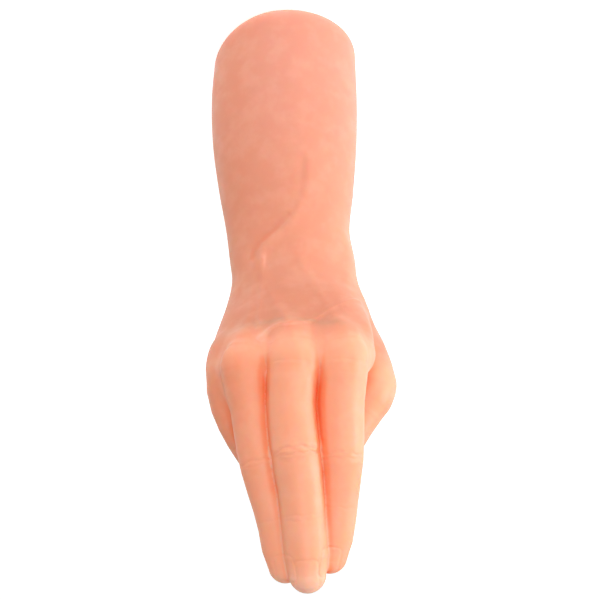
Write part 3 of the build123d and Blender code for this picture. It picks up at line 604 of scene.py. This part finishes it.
# How far out or in from the skin it is tested for folds, hollows and ridges
FOLD_REACH, HOLLOW_REACH, RIDGE_REACH = 2.2, 7.0, 8.0


def knuckle_reach(p):
    return (p - KNUCKLE_AXIS) @ KNUCKLE_WAY


def thumb_reach(p):
    return (p - THUMB_PIVOT) @ THUMB_WAY


def mesh_of(name, points, quads, normals):
    """A smooth mesh from points in millimetres, quads and a normal at each point."""
    mesh = bpy.data.meshes.new(name)
    mesh.vertices.add(len(points))
    mesh.vertices.foreach_set("co", (points * MM).astype(np.float32).ravel())
    mesh.loops.add(quads.size)
    mesh.loops.foreach_set("vertex_index", quads.astype(np.int32).ravel())
    mesh.polygons.add(len(quads))
    mesh.polygons.foreach_set("loop_start", np.arange(0, quads.size, 4, dtype=np.int32))
    mesh.update(calc_edges=True)
    mesh.validate()
    mesh.shade_smooth()
    mesh.normals_split_custom_set_from_vertices(normals)
    return mesh


def mark_shut_and_raised(mesh, points, normals):
    """Stores how shut in each point is, over two distances, and how much of a raised bump it is, for the
    skin's painted shade and painted highlight.
    """
    values = {}
    for label, reach in (("fold", FOLD_REACH), ("hollow", HOLLOW_REACH)):
        values[label] = 1 - np.clip(in_blocks(whole_hand, points + normals * reach) / reach, 0, 1)
    full = -in_blocks(whole_hand, points - normals * RIDGE_REACH) / RIDGE_REACH
    values["ridge"] = np.clip(1 - full, 0, 1)
    for label, value in values.items():
        attribute = mesh.attributes.new(label, "FLOAT", "POINT")
        attribute.data.foreach_set("value", value.astype(np.float32))


def skin_piece(name, field, low, past, left_out):
    """A mesh of a field's surface up to where past is 0, and a flap that goes on under the next mesh."""
    points, quads = surface_net(field, low, HAND_HIGH, STEP)
    middles = points[quads].mean(axis=1)
    quads = quads[(past(middles) < FLAP) & ~left_out(middles)]
    used = np.unique(quads)
    order = np.full(len(points), -1)
    order[used] = np.arange(len(used))
    points, quads = points[used], order[quads]
    fine = marked(field)
    points = settle(fine, points, 2)
    slope = slope_of(fine, points, 0.2)
    normals = slope / np.maximum(np.linalg.norm(slope, axis=1), 1e-6)[:, None]
    points = points - normals * (FLAP_SLOPE * np.clip(past(points), 0, None))[:, None]
    mesh = mesh_of(name, points, quads, normals)
    mark_shut_and_raised(mesh, points, normals)
    obj = bpy.data.objects.new(name, mesh)
    bpy.context.scene.collection.objects.link(obj)
    return obj


KNUCKLE_CUT, THUMB_CUT = KNUCKLE_BEND[0] - SEAM, THUMB_BEND[0] - SEAM


def past_knuckles(p):
    return knuckle_reach(p) - KNUCKLE_CUT


def past_thumb_root(p):
    return thumb_reach(p) - THUMB_CUT


def in_plate_seat(p):
    """The recess for the plate, where the CAD's own plate shows and the skin has no surface."""
    return (np.hypot(p[:, 0], p[:, 1]) < PLATE_RADIUS + PLATE_SEAT_GAP) & (p[:, 2] < PLATE_RECESS)


def thumb_root(p):
    """The thumb's root, past its cut, which only the thumb's mesh has."""
    return (past_thumb_root(p) > 1.0) & (in_blocks(palm, p) < in_blocks(fingers, p) - 5.0)


def buried_in_fingers(p):
    """Where the thumb's mesh would lie under the skin of the fingers."""
    depth = in_blocks(fleshed_thumb, p) - in_blocks(fleshed_fingers, p)
    return (past_knuckles(p) > 0) & (depth > 0.3)


digits_low = (HAND_LOW[0], HAND_LOW[1], DIGITS_LOW)
arm = skin_piece(
    "arm_soft_skin", whole_hand, HAND_LOW,
    lambda p: np.maximum(past_knuckles(p), past_thumb_root(p)), in_plate_seat,
)
finger_part = skin_piece(
    "fingers_soft_skin", hand_without_thumb, digits_low, lambda p: -past_knuckles(p), thumb_root
)
thumb_part = skin_piece(
    "thumb_soft_skin", hand_without_fingers, digits_low, lambda p: -past_thumb_root(p), buried_in_fingers
)


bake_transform(arm)
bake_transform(finger_part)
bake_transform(thumb_part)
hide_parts("forearm_skin", "forearm_foam", "palm_skin", "palm_foam")
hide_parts("finger_skin", "finger_foam")
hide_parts("thumb_skin", "thumb_foam")


# ---------------------------------------------------------------- materials
class Nodes:
    """A material's node tree, with short calls to add nodes and links."""

    def __init__(self, name):
        self.material = bpy.data.materials.new(name)
        self.material.use_nodes = True
        self.tree = self.material.node_tree
        self.shader = self.tree.nodes["Principled BSDF"]
        self.place = self.add("ShaderNodeTexCoord").outputs["Object"]

    def add(self, kind, **settings):
        node = self.tree.nodes.new(kind)
        for key, value in settings.items():
            if key in node.inputs:
                node.inputs[key].default_value = value
            else:
                setattr(node, key, value)
        return node

    def link(self, out, into):
        self.tree.links.new(out, into)

    def noise(self, scale, detail=4.0, roughness=0.55, stretch=None):
        node = self.add("ShaderNodeTexNoise", Scale=scale, Detail=detail, Roughness=roughness)
        source = self.place
        if stretch:
            mapping = self.add("ShaderNodeMapping", Scale=stretch)
            self.link(source, mapping.inputs["Vector"])
            source = mapping.outputs["Vector"]
        self.link(source, node.inputs["Vector"])
        return node.outputs["Fac"]

    def ramp(self, value, low, high, out_low=0.0, out_high=1.0):
        node = self.add("ShaderNodeMapRange", clamp=True)
        node.interpolation_type = "SMOOTHSTEP"
        limits = {"From Min": low, "From Max": high, "To Min": out_low, "To Max": out_high}
        for key, number in limits.items():
            node.inputs[key].default_value = number
        self.link(value, node.inputs["Value"])
        return node.outputs["Result"]

    def blend(self, factor, one, two):
        node = self.add("ShaderNodeMix", data_type="RGBA")
        for socket, value in ((0, factor), (6, one), (7, two)):
            if isinstance(value, bpy.types.NodeSocket):
                self.link(value, node.inputs[socket])
            else:
                node.inputs[socket].default_value = value
        return node.outputs[2]

    def math(self, operation, one, two):
        node = self.add("ShaderNodeMath", operation=operation)
        for socket, value in zip(node.inputs, (one, two)):
            if isinstance(value, bpy.types.NodeSocket):
                self.link(value, socket)
            else:
                socket.default_value = value
        return node.outputs[0]

    def bump(self, height, strength, distance):
        node = self.add("ShaderNodeBump", Strength=strength, Distance=distance)
        self.link(height, node.inputs["Height"])
        self.link(node.outputs["Normal"], self.shader.inputs["Normal"])

    def attribute(self, name):
        return self.add("ShaderNodeAttribute", attribute_name=name).outputs["Fac"]


def colour(code):
    """Linear colour of a #RRGGBB one."""
    parts = [int(code[i : i + 2], 16) / 255 for i in (1, 3, 5)]
    return tuple(c / 12.92 if c <= 0.04045 else ((c + 0.055) / 1.055) ** 2.4 for c in parts) + (1.0,)


def skin_material():
    """Soft cast skin: pinkish forearm and warmer fingers, with painted highlight on knuckles and
    fingertips, and painted shade on the back of the hand, the little finger's side and the folds.
    """
    m = Nodes("soft_skin")
    axes = m.add("ShaderNodeSeparateXYZ")
    m.link(m.place, axes.inputs["Vector"])
    up, across = axes.outputs["Z"], axes.outputs["X"]
    # Up the arm: a pinkish forearm and warmer fingers, partly the skin's own tone and partly painted
    # light. The back of the hand before the knuckles gets painted shade, as it faces away from the
    # light, and the fingers are painted lighter where they face it.
    base = m.blend(m.ramp(up, 0.04, 0.15), colour("#E89C84"), colour("#E79A7C"))
    base = m.blend(m.ramp(up, 0.155, 0.185), base, colour("#D88A6C"))
    base = m.blend(m.ramp(up, 0.198, 0.222), base, colour("#FFAB88"))
    # painted shade: the little finger's side of the arm and hand is darker, as it faces away from the
    # light
    base = m.blend(m.ramp(across, 0.008, 0.034, 0.0, 0.5), base, colour("#DE8862"))
    # painted highlight: paler on raised bumps such as the knuckles
    base = m.blend(m.ramp(m.attribute("ridge"), 0.18, 0.55, 0.0, 0.5), base, colour("#FFC6AC"))
    # painted highlight: paler at the fingertips, which face the light
    base = m.blend(m.ramp(up, 0.314, 0.327, 0.0, 0.5), base, colour("#FFD3BC"))
    # painted shade and painted glow of light through the skin: warm and dark where it is shut in, in
    # hollows and folds
    base = m.blend(m.ramp(m.attribute("hollow"), 0.10, 0.65, 0.0, 0.6), base, colour("#FF8650"))
    base = m.blend(m.ramp(m.attribute("fold"), 0.2, 0.9, 0.0, 0.75), base, colour("#FF6A2C"))
    # faint mottling, as in cast silicone
    base = m.blend(m.ramp(m.noise(28.0), 0.35, 0.7, 0.0, 0.08), base, colour("#D98468"))
    base = m.blend(m.ramp(m.noise(90.0, 3.0), 0.4, 0.7, 0.0, 0.10), base, colour("#FFD2BA"))
    m.link(base, m.shader.inputs["Base Color"])
    m.link(m.ramp(m.noise(160.0), 0.3, 0.7, 0.42, 0.52), m.shader.inputs["Roughness"])
    m.shader.inputs["Subsurface Weight"].default_value = 0.8
    m.shader.inputs["Subsurface Radius"].default_value = (1.0, 0.30, 0.14)
    m.shader.inputs["Subsurface Scale"].default_value = 0.007
    m.shader.inputs["Specular IOR Level"].default_value = 0.35
    m.bump(m.noise(1500.0, 3.0), 0.12, 0.0002)
    return m.material


skin = skin_material()
for piece in (arm, finger_part, thumb_part):
    piece.data.materials.append(skin)


def metal(name, tint, worn_tint, rough, grain):
    """Machined or drawn metal: fine lines, a little smearing, and duller patches."""
    m = Nodes(name)
    m.shader.inputs["Metallic"].default_value = 1.0
    lines = m.noise(220.0, 3.0, 0.6, grain)
    patches = m.noise(35.0, 4.0)
    worn = m.ramp(patches, 0.4, 0.7)
    m.link(m.blend(worn, colour(tint), colour(worn_tint)), m.shader.inputs["Base Color"])
    smeared = m.ramp(patches, 0.35, 0.75, 0.0, 0.10)
    shine = m.math("ADD", m.ramp(lines, 0.3, 0.7, rough - 0.06, rough + 0.08), smeared)
    m.link(shine, m.shader.inputs["Roughness"])
    m.bump(lines, 0.15, 0.0001)
    return m.material


def plastic(name, tint, mark_tint, rough):
    """Moulded or turned plastic: a fine grain and faint marks."""
    m = Nodes(name)
    grain = m.noise(2500.0, 2.0)
    marks = m.ramp(m.noise(60.0), 0.5, 0.75, 0.0, 0.5)
    m.link(m.blend(marks, colour(tint), colour(mark_tint)), m.shader.inputs["Base Color"])
    m.link(m.ramp(grain, 0.3, 0.7, rough - 0.05, rough + 0.08), m.shader.inputs["Roughness"])
    m.bump(grain, 0.2, 0.00015)
    return m.material


TURNED, DRAWN, ROLLED = (1.0, 1.0, 30.0), (20.0, 20.0, 1.0), (30.0, 2.0, 2.0)
finishes = {
    "plate_alloy": metal("machined_alloy", "#C3C5C8", "#A9ABAF", 0.34, TURNED),
    "tube_alloy": metal("anodised_tube", "#A9ABB0", "#93959B", 0.38, DRAWN),
    "screw_steel": metal("dark_screw_steel", "#6E6F73", "#55565A", 0.36, TURNED),
    "shaft_steel": metal("ground_steel", "#BEBFC2", "#9FA0A4", 0.24, TURNED),
    "spring_steel": metal("spring_steel", "#9A9BA0", "#7E7F84", 0.28, ROLLED),
    "brass": metal("bearing_metal", "#C9A35A", "#A98543", 0.32, TURNED),
    "bush_plastic": plastic("white_acetal", "#E9E7DF", "#D8D5CA", 0.46),
    "core_plastic": plastic("dark_nylon", "#37373B", "#2B2B2E", 0.55),
}
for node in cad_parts.values():
    for holder in node.material_slots:
        finish = finishes.get(holder.material.name.split(".")[0])
        if finish:
            holder.material = finish

# The return spring winds up as the fingers open. Its wire is copied into an object of its own, and the
# CAD's spring is hidden.
wound = bpy.data.objects.new("return_spring_wire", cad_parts["return_spring"].data.copy())
bpy.context.scene.collection.objects.link(wound)
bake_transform(wound)
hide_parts("return_spring")


# ---------------------------------------------------------------- camera, floor and light
TARGET = Vector((-0.0056, -0.012, 0.179))
DISTANCE, ELEVATION = 0.62, math.radians(25)
FIELD_OF_VIEW = math.radians(28.25)

camera = bpy.data.objects.new("camera", bpy.data.cameras.new("camera"))
bpy.context.scene.collection.objects.link(camera)
bpy.context.scene.camera = camera
# It looks from the back of the hand, above the fingertips, and is turned half round, so that the
# fingers point down in the picture.
back_way = Vector((0, -math.cos(ELEVATION), math.sin(ELEVATION)))
down_way = Vector((0, math.sin(ELEVATION), math.cos(ELEVATION)))
camera.matrix_world = Matrix.Translation(TARGET + back_way * DISTANCE) @ Matrix(
    (Vector((-1, 0, 0)), -down_way, back_way)
).transposed().to_4x4()
camera.data.angle = FIELD_OF_VIEW
camera.data.clip_start = 0.01

FLOOR_REACH, FLOOR_DROP = 6.0, 0.0005
floor_corners = [(x * FLOOR_REACH, y * FLOOR_REACH, 0) for x, y in ((-1, -1), (1, -1), (1, 1), (-1, 1))]
floor_mesh = bpy.data.meshes.new("floor")
floor_mesh.from_pydata(floor_corners, [], [(0, 1, 2, 3)])
floor = bpy.data.objects.new("floor", floor_mesh)
floor.location.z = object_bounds()[0].z - FLOOR_DROP
bpy.context.scene.collection.objects.link(floor)
pale = Nodes("pale_floor")
pale.shader.inputs["Base Color"].default_value = (0.9, 0.9, 0.9, 1)
pale.shader.inputs["Roughness"].default_value = 0.9
pale.shader.inputs["Emission Color"].default_value = (1, 1, 1, 1)
pale.shader.inputs["Emission Strength"].default_value = 0.72
floor_mesh.materials.append(pale.material)

AMBIENT = 0.36
world = bpy.data.worlds.new("studio")
bpy.context.scene.world = world
world.use_nodes = True
sky = world.node_tree.nodes["Background"]
sky.inputs["Color"].default_value = (1, 1, 1, 1)
# The backdrop looks white to the camera, and lights the hand only softly.
seen = world.node_tree.nodes.new("ShaderNodeLightPath").outputs["Is Camera Ray"]
level = world.node_tree.nodes.new("ShaderNodeMapRange")
level.inputs["To Min"].default_value, level.inputs["To Max"].default_value = AMBIENT, 1.0
world.node_tree.links.new(seen, level.inputs["Value"])
world.node_tree.links.new(level.outputs["Result"], sky.inputs["Strength"])
bpy.context.scene.view_settings.view_transform = "Standard"


def soft_light(name, place, aim, size, power):
    data = bpy.data.lights.new(name, "AREA")
    data.shape, data.size, data.energy = "DISK", size, power
    lamp = bpy.data.objects.new(name, data)
    lamp.location = place
    lamp.rotation_euler = (Vector(aim) - Vector(place)).to_track_quat("-Z", "Y").to_euler()
    bpy.context.scene.collection.objects.link(lamp)


soft_light("rim", (-1.2, -0.1, 0.4), (0, 0, 0.18), 0.6, 8.0)
soft_light("front", (-0.15, -0.85, 1.05), (0, 0, 0.22), 0.8, 6.0)
